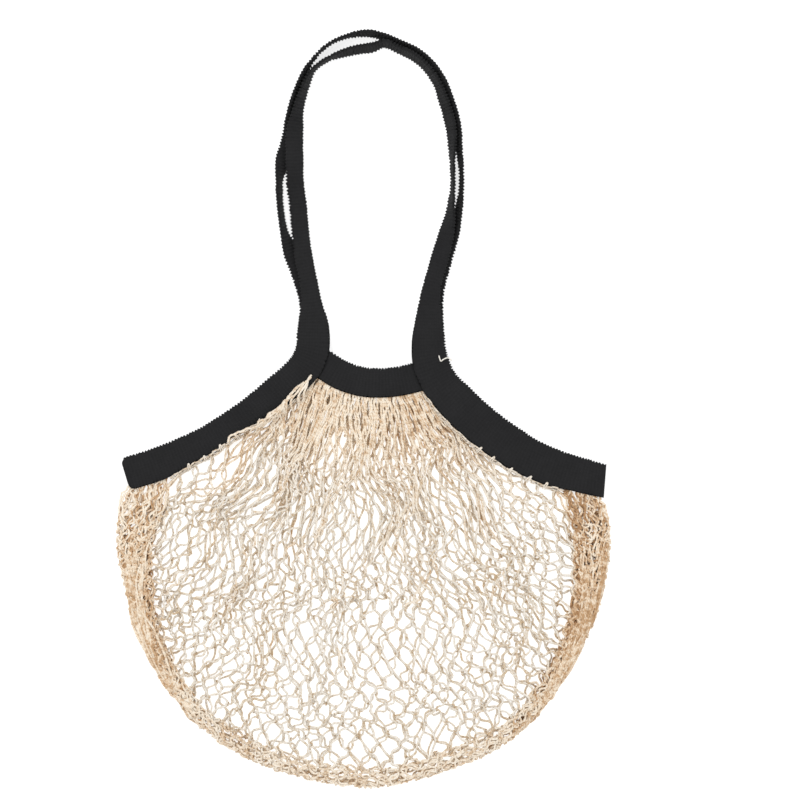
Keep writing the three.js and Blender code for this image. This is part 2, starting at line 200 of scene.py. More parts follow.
LEFT_SIDE = [(-193.5, -53), (-172, -46.5), (-150, -38), (-128, -28), (-106, -14.5), (-86.5, -0.5),
             (-70.5, 13), (-56, 25.5), (-46.5, 36)]
RIGHT_SIDE = [(196, -58.5), (177, -54.5), (160, -49.5), (142, -42.5), (126, -35), (108.5, -23.5),
              (92, -10.5), (75.5, 5.5), (62, 22)]
LEFT_SHOULDER = [(-57, 227, 20, 1), (-55.4, 240.7, 55, 0), (-52.7, 252, 64, 0), (-48.2, 265, 71, 0),
                 (-43.8, 274.6, 79, 0)]
RIGHT_SHOULDER = [(18.1, 298.2, 70, 0), (29.6, 293.4, 70, 0), (41, 288, 70, 0), (52.3, 278.7, 70, 0),
                  (61.8, 264.9, 68, 0), (66.5, 252, 61, 0), (70.6, 239, 58, 0), (73.4, 226, 60, 0),
                  (74.4, 213, 68, 0.5)]
RIGHT_LEG = [(74.3, 164.6, 71, 2), (72.6, 154.5, 57, 1.2), (70.4, 145.5, 41, 1.4), (67.6, 135.5, 24, 1.6),
             (64, 123.6, 9, 2.4), (60.6, 111.5, 1, 3)]


def side_stations(points, corner_lift, foot_lift):
    """The side of the mouth, from the outer corner in to the foot of the handle."""
    rise = smooth(np.arange(len(points)) / (len(points) - 1))
    return [(x, y, 0, 0, mix(corner_lift, foot_lift, r)) for (x, y), r in zip(points, rise)]


def beside_each_other(line, front):
    """Stations of one of two handles that lie against each other along a line."""
    stations = []
    for k, (x, y, twist, slide) in enumerate(line):
        before, after = line[max(k - 1, 0)], line[min(k + 1, len(line) - 1)]
        across = unit(np.array([after[1] - before[1], before[0] - after[0]]))
        angle = math.radians(twist)
        shift = (1 if front else -1) * (PAIR_SPACING * math.sin(angle) + slide) / 2
        lift = GAP + (PAIR_SPACING * math.cos(angle) if front else 0)
        stations.append((x + across[0] * shift, y + across[1] * shift, 1, twist, lift))
    return stations


# A station is x, y, fold, twist in degrees and lift, as in the solids.
FRONT_STATIONS = [
    *side_stations(LEFT_SIDE, CORNER_FRONT_TAPE_Z, FRONT_TAPE_Z),
    (-41.5, 49, 0, 0, FRONT_TAPE_Z), (-41, 58, 0, 0, FRONT_TAPE_Z), (-40.8, 71, 0.25, 0, 12.8),
    (-42, 84, 0.75, 0, 10), (-44, 100, 1, 0, 8), (-47.5, 117, 1, 0, 7), (-49.8, 131, 1, 0, 7.5),
    (-51.8, 148, 1, 0, 3.5), (-53.4, 166, 1, 6, 2), (-55.3, 180, 1, 3, 3.5), (-55.9, 191, 1, 0, 8),
    (-55.9, 202, 1, 0, 9.2), (-56.2, 213, 1, 2, 7),
    *beside_each_other(LEFT_SHOULDER, True),
    (-36.5, 278.7, 1, 84, 0.7), (-27.2, 284.4, 1, 82, GAP), (-15.8, 288.5, 1, 70, GAP),
    (-4.5, 291.3, 1, 65, GAP), (6.9, 293, 1, 65, GAP),
    *beside_each_other(RIGHT_SHOULDER, True),
    (72.2, 198, 1, 80, GAP), (72.5, 180.6, 1, 80, GAP),
    *beside_each_other(RIGHT_LEG, True),
    (56, 101, 1, 0, 7), (53.9, 88.2, 0.8, 0, 9), (53.2, 72, 0.35, 0, 12),
    (52.9, 55, 0, 0, FRONT_TAPE_Z), (54.8, 39, 0, 0, FRONT_TAPE_Z),
    *side_stations(RIGHT_SIDE, CORNER_FRONT_TAPE_Z, FRONT_TAPE_Z)[::-1],
]
BACK_STATIONS = [
    *side_stations(LEFT_SIDE, 0, 0),
    (-41.5, 49, 0, 0, 0), (-41, 67, 0.1, 0, 0), (-43.5, 84, 0.75, 0, GAP), (-47.4, 97, 1, 0, GAP),
    (-52.5, 112, 1, 2, GAP), (-57, 123, 1, 12, GAP), (-60.5, 132, 1, 42, GAP), (-64, 142, 1, 68, GAP),
    (-66.3, 154, 1, 74, GAP), (-68, 170, 1, 74, GAP), (-68.3, 184, 1, 73, GAP), (-67.3, 193, 1, 58, GAP),
    (-64.8, 202, 1, 27, GAP), (-61.8, 211, 1, 7, GAP), (-59.6, 219, 1, 5, GAP),
    *beside_each_other(LEFT_SHOULDER, False),
    (-40.2, 284, 1, 86, GAP), (-34, 290.9, 1, 88, GAP), (-25.1, 297.4, 1, 88, GAP),
    (-15.8, 301.3, 1, 86, GAP), (-4.5, 304, 1, 78, GAP), (6.9, 304.2, 1, 75, GAP),
    *beside_each_other(RIGHT_SHOULDER, False),
    (79, 198, 1, 80, GAP), (79.4, 180.6, 1, 80, GAP),
    *beside_each_other(RIGHT_LEG, False),
    (59.2, 100, 1, 0, GAP), (56.5, 88.2, 0.8, 0, GAP), (54, 72, 0.35, 0, 0), (52.9, 55, 0, 0, 0),
    (54.8, 39, 0, 0, 0),
    *side_stations(RIGHT_SIDE, 0, 0)[::-1],
]
BAND_LINE = [(-45.5, 43.5), (-32, 36), (-19, 28), (-2, 22.3), (11, 21.2), (25, 22), (40, 25), (55, 30)]
# How far the soft side tapes are stretched outwards past their width, along x: at their edge over the
# net, where they are drawn in on the left, and at their other edge.
NET_EDGE = [(-165, 0), (-150, -2), (-140, -3.6), (-125, -4.8), (-111, -6), (-98, -5.6), (-83, -3),
            (-70, 0), (66, 2), (80, 2.5), (100, 2.1), (130, 2), (150, 2.5), (160, 1.5), (172, 0)]
FREE_EDGE = [(-60, 0), (62, 1), (73, 2.7), (92, 3.1), (122, 3.3), (133, 2.1), (145, 1.5), (180, 1.3),
             (192, 0)]
SIDES_TOP = (58, 25)  # y at which that ends at the feet of the handles, and the length over which it does
SLOPE_STEP = 1e-4  # share of a tape over which its direction is measured


class Tape:
    """A knitted tape along stations; its across direction points to the inside of the bag."""

    def __init__(self, stations, width=TAPE_WIDTH, stretched=False):
        self.stations = np.array(stations, float)
        self.width = width
        self.stretched = stretched
        self.fine = np.linspace(0, 1, 40 * len(stations))
        self.length = lengths(catmull(self.stations[:, :2], self.fine))

    def share(self, distance):
        """Share of the spans at a length along the tape."""
        return np.interp(distance, self.length, self.fine)

    def plan(self, t):
        """The tape's middle line and across direction in plan."""
        line = self.stations[:, :2]
        tangent = unit(catmull(line, t + SLOPE_STEP) - catmull(line, t - SLOPE_STEP))
        return catmull(line, t), -left_of(tangent)

    def stretch(self, centre, table):
        """How far an edge is stretched outwards beside points of the middle line."""
        top, over = SIDES_TOP
        return self.stretched * np.interp(centre[:, 0], *zip(*table)) * smooth((top - centre[:, 1]) / over)

    def edge(self, t, inset=0.0):
        """Points near the tape's inner edge, inset by some millimetres from it."""
        centre, across = self.plan(t)
        return centre + across * (self.width / 2 + self.stretch(centre, NET_EDGE) - inset)[:, None]

    def frames(self, t):
        """Middle, directions, fold and half sizes of the tape's sections."""
        centre, across = self.plan(t)
        fold, twist, lift = catmull(self.stations[:, 2:], t).T
        fold = np.clip(fold, 0, 1)
        twist = np.radians(twist)
        inner, outer = (self.stretch(centre, table) for table in (NET_EDGE, FREE_EDGE))
        centre = centre + across * ((inner - outer) / 2)[:, None]
        half_width = (mix(self.width, FOLD_WIDTH, fold) + inner + outer) / 2
        half_thick = mix(TAPE_THICKNESS, FOLD_THICKNESS, fold) / 2
        standing = np.abs(np.sin(twist))
        z = np.maximum(lift, 0) + half_width * standing + half_thick * np.cos(twist)
        flat = np.column_stack([across, np.zeros(len(across))])
        c, s = np.cos(twist)[:, None], np.sin(twist)[:, None]
        return {"centre": np.column_stack([centre, z]), "wide": flat * c - UP * s,
                "thick": flat * s + UP * c, "fold": fold, "half_width": half_width,
                "half_thick": half_thick, "standing": standing}


def tape_section(fold, half_width, half_thick, bulge):
    """Points round a tape, across it and up: rounded edges, and where the tape is folded, a groove along
    its inner edge."""
    corner = half_thick * 0.9
    inner = half_width - corner
    lip = LIP * fold * half_thick
    upper = [(inner + corner * 0.9 + bulge * 0.5, lip),
             (inner + corner + bulge, 0.45 * half_thick + 0.25 * lip),
             (inner + corner * 0.6 + bulge, 0.9 * half_thick),
             *((inner * s, half_thick * (1 - FACE_DENT * fold * (1 - s**2))) for s in FACE_SHARES),
             (-inner - corner * 0.6 - bulge, 0.8 * half_thick),
             (-inner - corner - bulge, 0.35 * half_thick)]
    groove = (inner + corner - (GROOVE + bulge) * fold, np.zeros(len(fold)))
    points = [groove, *((wide, -thick) for wide, thick in upper), *reversed(upper)]
    return (np.stack(values, axis=1) for values in zip(*points))


def tape_object(name, tape, material):
    """The tape's mesh: cross ribs over its faces that stand out as a serrated edge."""
    total = tape.length[-1]
    ribs = round(total / RIB_PITCH)
    distance = np.linspace(0, total, ribs * RINGS_PER_RIB + 1)
    f = tape.frames(tape.share(distance))
    trough = 0.5 * (np.cos(2 * np.pi * distance * ribs / total) - 1)
    uneven = mix(*RIB_SIZES, rng.random(ribs + 1)[(distance / total * ribs + 0.5).astype(int)])
    half_thick = f["half_thick"] + mix(RIB_DEPTH, STANDING_RIB_DEPTH * uneven, f["standing"]) * trough
    short = np.clip(END_ROUNDING - distance, 0, END_ROUNDING)
    half_width = f["half_width"] - END_ROUNDING + np.sqrt(END_ROUNDING**2 - short**2)
    wide, thick = tape_section(f["fold"], half_width, half_thick, EDGE_DEPTH * trough * uneven)
    skew, reach = END_SKEW
    slant = wide * skew * smooth((distance - total + reach) / reach)[:, None]
    tangent = unit(np.gradient(f["centre"], axis=0))
    rings = (f["centre"][:, None] + f["wide"][:, None] * wide[..., None]
             + f["thick"][:, None] * thick[..., None] + tangent[:, None] * slant[..., None])
    rings = rings[None, :, ::-1]
    return mesh_object(name, *skin(rings), skin_uvs(distance[None], rings.shape[2]), material)


# ---- string

STRING = 0.94  # radius of the twisted cotton string
PLY_PITCH = 5.2  # length of one full turn of its two plies
OVAL = 0.16  # how far the plies make it oval


def tubes(paths, radius, sides):
    """Rings of points round paths (tubes by points by 3), twisted like two plies."""
    tangent = unit(np.gradient(paths, axis=1))
    side = np.cross(tangent, UP)
    upright = np.linalg.norm(side, axis=-1, keepdims=True) < 0.1
    side = unit(np.where(upright, np.cross(tangent, np.array([1.0, 0.0, 0.0])), side))
    normal = np.cross(side, tangent)
    steps = np.linalg.norm(np.diff(paths, axis=1), axis=-1)
    distance = np.pad(np.cumsum(steps, axis=1), ((0, 0), (1, 0)))
    turn = 2 * np.pi * (distance / PLY_PITCH + rng.random((len(paths), 1)))
    angle = 2 * np.pi * np.arange(sides) / sides
    reach = radius * (1 + OVAL * np.cos(2 * (angle - turn[..., None])))
    rings = (paths[:, :, None] + side[:, :, None] * (reach * np.cos(angle))[..., None]
             + normal[:, :, None] * (reach * np.sin(angle))[..., None])
    return rings, distance


def string_object(name, groups, material, sides=5):
    """One mesh from groups of (paths, radius, tone with painted shade, share of the painted bundle shade);
    the last two are numbers or arrays for the paths by their points."""
    parts = []
    offset = 0
    for paths, radius, *values in groups:
        rings, distance = tubes(paths, radius, sides)
        verts, quads, caps = skin(rings)
        values = [np.repeat(np.broadcast_to(value, paths.shape[:2]).ravel(), sides) for value in values]
        parts.append((verts, quads + offset, caps + offset, skin_uvs(distance, sides), *values))
        offset += len(verts)
    *shape, tint, bundled = (np.concatenate(part) for part in zip(*parts))
    return mesh_object(name, *shape, material, tint=tint, bundled=bundled)


def tones_and_shades(paths, low, high):
    """A tone for each path, between two limits: the string's own random tone, raised to deeper tans where
    shade is painted.
    """
    return rng.uniform(low, high, (len(paths), 1))


# ---- net: outline and lattice

# Outer edge of the net from the left corner round the bottom to the right one, with the width and
# height of the string that is gathered inside it.
RIM = [
    (-191, -68.5, 30, 8), (-199, -86, 34, 12), (-200, -116, 28, 13), (-194, -145, 23, 12.5),
    (-185.5, -179, 19, 12), (-172.5, -207, 17, 11.5), (-156, -232, 15, 11), (-130, -260.5, 13, 10.5),
    (-88, -286.5, 14, 10), (-35, -303, 15, 9.5), (10, -307.5, 15, 9.5), (69, -293, 15, 9.5),
    (115.5, -272, 14, 10), (153.5, -233, 15, 11), (178.5, -192.5, 19, 12), (192, -159, 24, 12.5),
    (200, -118.5, 30, 13), (200, -94, 29, 12), (194.5, -73, 25, 8),
]
SIDE = 6  # half diamonds gathered in each side of the net
BODY_COLUMNS = 76  # half diamonds across the open net between them
# Of those, along each side tape, which follows a slanted string of the net, so that each column starts
# half a row below the last one; the rest hang from the middle band.
STRAP_COLUMNS = 9
MIDDLE_COLUMNS = BODY_COLUMNS - 2 * STRAP_COLUMNS
COLUMNS = BODY_COLUMNS + 2 * SIDE
BODY_ROWS = 28  # half diamonds down the open net
HEM_ROWS = 4  # and gathered in the rim at the bottom
ROWS = BODY_ROWS + HEM_ROWS
FEWEST_ROWS = 3  # that a column hangs open before it runs into the rim
ROW_PITCH = 11.8
ROW_STRETCH = (1.3, 0.8)  # of the rows at the top and at the bottom, where the diamonds are slack
STRING_LENGTH = 15.8  # of string between two knots
TUCK = 4.5  # of the top knots under the edge of the tape
HEM = 8.0  # further under the tape, to which the rows above a slanted edge are folded
RIM_INSET = 1.6  # from the outline to the outermost strings
# Shares of the outline at which the columns run into the rim: the first one at all, the first one of
# the open net, and the last one that hangs from a side tape.
OUTER_SHARE = 0.012
CORNER_SHARE = 0.022
STRAP_SHARE = 0.15
RIM_RUN = (0.005, 0.0105)  # share of the outline that a column runs on along the rim in each row
GATHERED = (33.0, 30.0)  # lengths of the left and the right tape's ends that hold the gathered sides
HELD_BAND = (0.05, 0.93)  # shares of the middle band at its first and its last column
WIDEST = (0.12, 0.52, 0.25)  # the columns run apart in the middle: how much more, where, over what reach
PULL_ACROSS = 0.45  # of a knot's pull, towards its neighbours across; the rest goes up and down
LONGEST = 0.98  # share of its length to which a string between two knots can be drawn out
SHORTEST = 0.6  # and which it softly keeps
STIFFNESS = (0.4, 0.1)  # share of its misfit with which it pulls and pushes
EVENING = (1200, 1.0)  # rounds of settling and share of each move, before the strings pull
PULLING = (1500, 0.08)  # and while they do
SPREAD = (27, -200, 50, 75, 2)  # the open middle: x, y, reach across and down, shift

RIM_FINE = catmull(RIM, np.linspace(0, 1, 1500))
RIM_LENGTH = lengths(RIM_FINE[:, :2])[-1]
RIM_STEP = 2.0  # length to each side over which its direction is measured


def rim_at(share):
    """Outline point, inward direction, width and height of the gathered rim, by share of its length."""
    where = np.asarray(share) * RIM_LENGTH
    at, ahead, behind = (along(RIM_FINE, where + step) for step in (0, RIM_STEP, -RIM_STEP))
    return at[..., :2], left_of(unit((ahead - behind)[..., :2])), at[..., 2], at[..., 3]


def rim_point(share, depth):
    """Point of the rim at a share of its length, from its outer edge (0) to its inner one (1)."""
    point, inward, width, _ = rim_at(share)
    return point + inward * (RIM_INSET + (width - RIM_INSET) * np.asarray(depth))[..., None]


def band_tape(lift):
    return Tape([(x, y, 0, 0, lift) for x, y in BAND_LINE], BAND_WIDTH)


FRONT = Tape(FRONT_STATIONS, stretched=True)
BACK = Tape(BACK_STATIONS, stretched=True)
BAND = band_tape(0)


def feet():
    """Lengths along the front tape at the left and the right foot of the handle."""
    foot = (len(LEFT_SIDE) - 1) / (len(FRONT_STATIONS) - 1)
    return np.interp([foot, 1 - foot], FRONT.fine, FRONT.length)


def strap_holds():
    """Lengths along the front tape at which the strap columns of both sides are held."""
    left_foot, right_foot = feet()
    left = np.linspace(GATHERED[0], left_foot, STRAP_COLUMNS, endpoint=False)
    return left, np.linspace(right_foot, FRONT.length[-1] - GATHERED[1], STRAP_COLUMNS + 1)[1:]


def mouth_row(inset):
    """Where the columns of the net are held: under the lower edge of the tapes and the band."""
    end = 1.5
    total = FRONT.length[-1]
    left, right = strap_holds()
    left = np.concatenate([np.linspace(end, GATHERED[0], SIDE, endpoint=False), left])
    right = np.concatenate([right, np.linspace(total - GATHERED[1], total - end, SIDE + 1)[1:]])
    band = np.linspace(*HELD_BAND, MIDDLE_COLUMNS + 1) * BAND.length[-1]
    held = (FRONT, left), (BAND, band), (FRONT, right)
    return np.vstack([tape.edge(tape.share(where), inset) for tape, where in held])


def column_ends():
    """Share of the outline at which each column runs into the rim."""
    side = np.linspace(OUTER_SHARE, CORNER_SHARE, SIDE, endpoint=False)
    strap = np.linspace(CORNER_SHARE, STRAP_SHARE, STRAP_COLUMNS, endpoint=False)
    left = np.concatenate([side, strap])
    more, middle, reach = WIDEST
    u = (np.arange(MIDDLE_COLUMNS) + 0.5) / MIDDLE_COLUMNS
    step = 1 + more * np.exp(-(((u - middle) / reach) ** 2))
    share = np.concatenate([[0], np.cumsum(step)]) / step.sum()
    return np.concatenate([left, mix(STRAP_SHARE, 1 - STRAP_SHARE, share), 1 - left[::-1]])


TOP = mouth_row(TUCK)
FOLDED = mouth_row(TUCK + HEM)
ENDS = column_ends()
# For each column: its number from the nearer side, the row at which it starts, the way that it falls and
# the row at which it runs into the rim.
ALL_ROWS = np.arange(ROWS + 1)[None, :]
FROM_SIDE = np.minimum(np.arange(COLUMNS + 1), np.arange(COLUMNS + 1)[::-1])[:, None]
FIRST = np.clip(SIDE + STRAP_COLUMNS - FROM_SIDE, 0, STRAP_COLUMNS)
FALL = np.linalg.norm(TOP - rim_point(ENDS, np.ones(COLUMNS + 1)), axis=1, keepdims=True)
HANGING = np.minimum(FIRST + np.maximum(np.round(FALL / ROW_PITCH), FEWEST_ROWS), BODY_ROWS).astype(int)


def settle(grid, free, rounds, evening, elastic):
    """Lets the free knots of a grid settle between their neighbours and, where elastic, moves them until
    the strings between them are no longer than they can be and, softly, not bunched up."""
    strings = (np.s_[:-1, :-1], np.s_[1:, 1:]), (np.s_[1:, :-1], np.s_[:-1, 1:])
    stiff = 1 / mix(*ROW_STRETCH, smooth(np.arange(ROWS) / BODY_ROWS))[None, :, None]
    pulls, pushes = STIFFNESS
    for _ in range(rounds):
        move = np.zeros_like(grid)
        across = (grid[:-2, 1:-1] + grid[2:, 1:-1]) / 2
        down = grid[1:-1, :-2] * stiff[:, :-1] + grid[1:-1, 2:] * stiff[:, 1:]
        down = down / (stiff[:, :-1] + stiff[:, 1:])
        move[1:-1, 1:-1] = (mix(down, across, PULL_ACROSS) - grid[1:-1, 1:-1]) * evening
        for a, b in strings if elastic else ():
            gap = grid[b] - grid[a]
            size = np.maximum(np.linalg.norm(gap, axis=-1, keepdims=True), 1e-6)
            over = np.maximum(1 - STRING_LENGTH * LONGEST / size, 0) * pulls
            under = np.minimum(1 - STRING_LENGTH * SHORTEST / size, 0) * pushes
            pull = gap * np.maximum(over + under, -pulls)
            move[a] += pull
            move[b] -= pull
        grid = grid + move * free[..., None]
    return grid


def lattice():
    """Plan of the net: a point for each half column and half row."""
    off_middle = (np.arange(COLUMNS + 1) - COLUMNS / 2) / (COLUMNS / 2)
    run = np.random.default_rng(5).uniform(*RIM_RUN, COLUMNS + 1)
    run = run * np.minimum(1, abs(off_middle) * 1.3) * -np.sign(off_middle)
    share = ENDS[:, None] + run[:, None] * np.maximum(ALL_ROWS - HANGING, 0)
    outer = np.minimum(1, (FROM_SIDE + 0.5) / SIDE)
    in_rim = rim_point(share, np.clip((ROWS - ALL_ROWS) / (ROWS - HANGING), 0, 1) * outer)
    foot = np.take_along_axis(in_rim, HANGING[..., None], axis=1)
    fall = np.clip((ALL_ROWS - FIRST) / (HANGING - FIRST), 0, 1)[..., None]
    grid = np.where(fall < 1, mix(TOP[:, None], foot, fall), in_rim)
    folded = np.maximum(FIRST - ALL_ROWS, 0) / STRAP_COLUMNS
    grid = grid + (FOLDED - TOP)[:, None] * folded[..., None]
    free = (ALL_ROWS > FIRST) & (ALL_ROWS < HANGING) & (FROM_SIDE >= SIDE - 1)
    return settle(settle(grid, free, *EVENING, False), free, *PULLING, True)


def spread_middle(points):
    """Draws the low middle of the net open."""
    x, y, across, down, shift = SPREAD
    dx = (points[..., 0] - x) / across
    dy = (points[..., 1] - y) / down
    moved = dx * np.exp(0.5 - dx**2 / 2 - dy**2 / 2) * shift
    return points + np.stack([moved, np.zeros_like(moved)], axis=-1)


def drift(points, reach, amount, seed):
    """A smooth random shift of points in plan, over wave lengths of about reach millimetres."""
    own = np.random.default_rng(seed)
    shift = np.zeros_like(points)
    waves = 7
    for _ in range(waves):
        angle = own.random() * 2 * np.pi
        k = 2 * np.pi / (reach * (0.7 + 0.8 * own.random()))
        phase = points[..., 0] * math.cos(angle) * k + points[..., 1] * math.sin(angle) * k
        heading = own.random() * 2 * np.pi
        wave = np.sin(phase + own.random() * 2 * np.pi) * amount / math.sqrt(waves / 2)
        shift += wave[..., None] * np.array([math.cos(heading), math.sin(heading)])
    return shift


# Places where the net is drawn together: x, y, reach across, reach down, share of the way pulled in.
GATHERS = [
    (-8, -155, 17, 7, 0.7),
    (-54, -48, 15, 42, 0.22),
    (-64, -92, 15, 42, 0.22),
    (54, -100, 9, 30, 0.35),
]
CLEAN = (22, -215, 58)  # where both sides of the net lie in register: centre and reach
CLEAN_OFFSET = (1.6, -1.2)  # and how far apart they are there


def pull_together(points):
    """Moves points towards the gathers across their shorter direction."""
    for x, y, across, down, pull in GATHERS:
        dx, dy = points[..., 0] - x, points[..., 1] - y
        near = np.exp(-((dx / (2 * across)) ** 2) - ((dy / (1.2 * down)) ** 2))
        away = np.stack([dx * (across < down), dy * (down < across)], axis=-1)
        points = points - away * (near * pull)[..., None]
    return points


def inside_share():
    """How free each lattice point is to shift: 0 at the mouth and in the rim, 1 in the open net."""
    ends = smooth((ALL_ROWS - FIRST) / 5) * smooth((HANGING - ALL_ROWS + 2) / 5)
    return smooth((FROM_SIDE - SIDE + 2) / 6) * ends


# ---- net: heights

# Of the front and the back side of the net: heights of its strings in the open net, under the mouth and
# at its corners; size and seed of the waves in it; and from what share of the rim's width on it leaves the
# rim's height, over how many widths, and how many millimetres more.
FRONT_LEVELS = (6.4, 11.5, 4.8, 1.3, 31, 0.55, 1.2, 8)
BACK_LEVELS = (1.25, 5.0, 2.9, 0.25, 32, 0.3, 0.7, 0)
LEVEL_REACH = 70  # of those waves
RIM_FLOOR = 0.9


def nearest_rim(points):
    """Distance in from the outline, with the rim's width and height there."""
    edge, inward, width, height = rim_at(np.linspace(0, 1, 400))
    depth, nearest = past(points, edge, inward)
    return depth, width[nearest], height[nearest]


def heights(points, front):
    """Height of the string's centre at each lattice point of one side of the net."""
    in_open, at_mouth, at_corner, wavy, seed, begin, widths, more = FRONT_LEVELS if front else BACK_LEVELS
    mouth = mix(at_corner, at_mouth, smooth((FROM_SIDE - SIDE + 1) / (STRAP_COLUMNS + 1)))
    body = in_open + drift(points, LEVEL_REACH, wavy, seed)[..., 0]
    depth, width, height = nearest_rim(points)
    across = np.clip(2 * depth / width - 1, -1, 1)
    dome = np.sqrt(1 - across**2 * 0.95)
    middle = height / 2
    rim = middle + (1 if front else -1) * (middle - RIM_FLOOR) * dome
    level = mix(rim, body, smooth((depth - width * begin) / (width * widths + more)))
    down = smooth((ALL_ROWS - FIRST - 0.6) / 4.5)
    return np.maximum(mix(mouth, level, down), RIM_FLOOR)


# ---- net: strands and knots

SAMPLES = 6  # points along the string from knot to knot
TAUT = 0.4  # of their curls that the strings just below the middle band and in the sides keep
KNOT_HALF = 0.62  # from the middle of a knot to each of the two strands in it
KNOT_RISE = 0.3  # of the upper strand in a knot, and the sink of the lower one
# Of the string between two knots: its length and its pull on them, relative; the square of its curl, for
# a slack and a chord of 1; the most of that curl, as a share of the chord and in millimetres; and its bow
# to one side and its bend to both, each as a share of the curl with a random part in millimetres.
UNEVEN_LENGTH = (0.95, 1.07)
UNEVEN_PULL = (0.75, 1.35)
CURL_SQUARE = 0.375
MOST_CURL = (0.3, 3.2)
BOW = (0.8, 0.3)
BEND = (0.55, 0.25)
LIFT = (0.35, 1.0)  # of the curl up or down: as a share of it, and the most in millimetres


def inward_of_side(strand):
    """How many strands lie between a strand and the nearer side of the net."""
    return np.minimum(strand, COLUMNS - 1 - strand) + 0.5


def at_band(strand):
    """1 for the strands that hang from the middle band, 0 for the ones at its sides."""
    return smooth((inward_of_side(strand) - SIDE - STRAP_COLUMNS + 3) / 4)


def in_side(strand):
    """1 for the strands that are gathered in a side of the net, 0 for the others."""
    return 1 - smooth((inward_of_side(strand) - SIDE) / 2)


def strand_paths(knots, own):
    """The strings run down the net in zigzags: at every knot a strand touches the next one."""
    down = unit(np.gradient(knots, axis=1))
    beside = left_of(down)
    strand = np.arange(COLUMNS)[:, None]
    row = ALL_ROWS
    turned = (strand + row) % 2
    at = strand + turned
    side = np.where(turned == 1, -1.0, 1.0)
    rightward = np.sign(beside[..., 0])[at, row]
    place = knots[at, row] + beside[at, row] * (KNOT_HALF * side * rightward)[..., None]
    place[..., 2] -= KNOT_RISE * side
    a, b = place[:, :-1], place[:, 1:]
    chord = np.linalg.norm(b - a, axis=-1)
    shape = chord.shape
    slack = np.maximum(STRING_LENGTH * own.uniform(*UNEVEN_LENGTH, shape) - chord, 0)
    curl = np.minimum(np.sqrt(CURL_SQUARE * slack * chord), np.minimum(MOST_CURL[0] * chord, MOST_CURL[1]))
    taut = np.maximum(at_band(strand) * (1 - smooth((row[:, :-1] - 3) / 6)), in_side(strand))
    curl = curl * mix(1.0, TAUT, taut)
    turn = own.uniform(-np.pi, np.pi, shape)
    bow = curl * BOW[0] * np.cos(turn) + own.normal(0, BOW[1], shape)
    bend = curl * BEND[0] * np.sin(turn) + own.normal(0, BEND[1], shape)
    lift = np.clip(curl * LIFT[0], 0, LIFT[1]) * own.uniform(-1, 1, shape)
    slopes = down[at, row]
    pull = (chord * own.uniform(*UNEVEN_PULL, shape))[..., None]
    ends = a, b, slopes[:, :-1] * pull, slopes[:, 1:] * pull
    t = (np.arange(SAMPLES) / SAMPLES)[:, None]
    wave = np.sin(np.pi * t) ** 2
    aside = wave * bow[..., None, None] + np.sin(2 * np.pi * t) * bend[..., None, None]
    path = hermite(*(end[:, :, None] for end in ends), t) + left_of(unit(b - a))[:, :, None] * aside
    path[..., 2] += wave[:, 0] * lift[..., None]
    path = path.reshape(COLUMNS, ROWS * SAMPLES, 3)
    path = np.concatenate([path, place[:, -1:]], axis=1)
    path[..., 2] = np.maximum(path[..., 2], STRING + 0.1)
    return path


LOW_RIM_SHARE = 0.75  # share of painted bundle shade: the string in the rim at the bottom is looser than at the sides
CLOSE_SHARE = 0.7  # and where the columns of the open net lie close together
# Painted shade that deepens the string down the gathered sides: y and amount.
LEFT_SHADE = [(-220, 0.3), (-188, 0.4), (-155, 0.45), (-115, 0.3), (-82, -0.4)]
RIGHT_SHADE = [(-220, 0.7), (-188, 1.1), (-155, 1.0), (-115, 0.3), (-82, 0.2)]


def bundled_share(knots):
    """How far each point of the strands lies in a bundle (in a side of the net, in the rim, gathered at
    the mouth or where the columns are close together), and how far in one at the side: the first share
    paints the shade of packed string, the second where painted shade deepens down the sides."""
    strand = np.arange(COLUMNS)[:, None]
    row = np.arange(ROWS * SAMPLES + 1)[None, :] / SAMPLES
    held = (HANGING[:-1] + HANGING[1:]) / 2
    in_rim = smooth((row - held + 1) / 2)
    low = 1 - smooth((FROM_SIDE[:-1] - SIDE - STRAP_COLUMNS) / 12)
    below = row - FIRST[:-1]
    gathered = smooth((inward_of_side(strand) - SIDE - 1) / 6) * (1 - smooth((below - 2) / 6))
    close = 1 - smooth((np.linalg.norm(np.diff(knots[..., :2], axis=0), axis=-1) - 1.8) / 2.4)
    close = CLOSE_SHARE * np.repeat(close, SAMPLES, axis=1)[:, :ROWS * SAMPLES + 1]
    parts = [in_rim * mix(LOW_RIM_SHARE, 1.0, low), in_side(strand), gathered, close]
    return np.max(np.stack(np.broadcast_arrays(*parts)), axis=0), np.maximum(in_rim * low, in_side(strand))


def side_shade(points):
    """How much painted shade deepens the string at points in the gathered sides."""
    left, right = (np.interp(points[..., 1], *zip(*table)) for table in (LEFT_SHADE, RIGHT_SHADE))
    return np.where(points[..., 0] < 0, left, right)


def knot_paths(knots, own, turns=1.5, radius=0.95, length=3.6, steps=9):
    """Wraps of string round every knot."""
    knotted = (np.arange(COLUMNS + 1)[:, None] + ALL_ROWS) % 2 == 0
    here = knotted & (FROM_SIDE > SIDE - 3) & (ALL_ROWS > FIRST) & (ALL_ROWS < HANGING + 2)
    centre, axis = knots[here], unit(np.gradient(knots, axis=1))[here]
    side = unit(np.cross(axis, UP))
    up = np.cross(side, axis)
    t = np.linspace(0, 1, steps)[None, :]
    start = own.random(len(centre))[:, None] * 2 * np.pi
    angle = start + 2 * np.pi * turns * t
    size = radius * own.uniform(0.88, 1.12, len(centre))[:, None]
    wrap = (centre[:, None]
            + axis[:, None] * ((t - 0.5) * length)[..., None]
            + side[:, None] * (size * np.cos(angle))[..., None]
            + up[:, None] * (size * 0.8 * np.sin(angle))[..., None])
    wrap[..., 2] = np.maximum(wrap[..., 2], 0.75)
    return wrap


PLAN = spread_middle(lattice())
FREE = inside_share()
